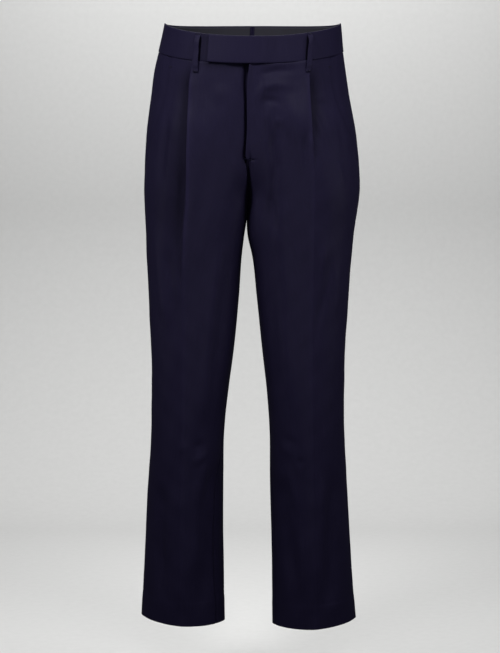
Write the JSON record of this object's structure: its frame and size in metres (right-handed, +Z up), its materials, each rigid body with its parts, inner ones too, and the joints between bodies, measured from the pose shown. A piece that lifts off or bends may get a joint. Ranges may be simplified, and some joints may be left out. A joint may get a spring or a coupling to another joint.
{
  "type": "pleated dress trousers",
  "caption": "Dress trousers with a reverse pleat and a pressed crease on each leg, slant side pockets, a fly, belt loops and a waistband that closes with a long plain tab.",
  "frame": {"origin": "centre of the waist opening, level with the waistband's top edge at the sides", "axes": "+Z up, the front faces -Y, +X towards the wearer's left"},
  "size_m": [0.3868, 0.2554, 1.0691],
  "materials": {
    "navy_worsted": "fine smooth worsted, navy with a violet tint, soft sheen",
    "charcoal_lining": "matt charcoal waistband lining"
  },
  "bodies": {
    "root": {"front_left": "navy_worsted", "front_right": "navy_worsted", "back_left": "navy_worsted", "back_right": "navy_worsted", "pocket_facing_left": "navy_worsted", "pocket_facing_right": "navy_worsted", "fly_shield": "navy_worsted", "waistband_left": "navy_worsted", "waistband_right": "navy_worsted", "waistband_lining_left": "charcoal_lining", "waistband_lining_right": "charcoal_lining", "belt_loop_front_left": "navy_worsted", "belt_loop_front_right": "navy_worsted", "belt_loop_side_left": "navy_worsted", "belt_loop_side_right": "navy_worsted", "belt_loop_back": "navy_worsted"}
  },
  "joints": []
}
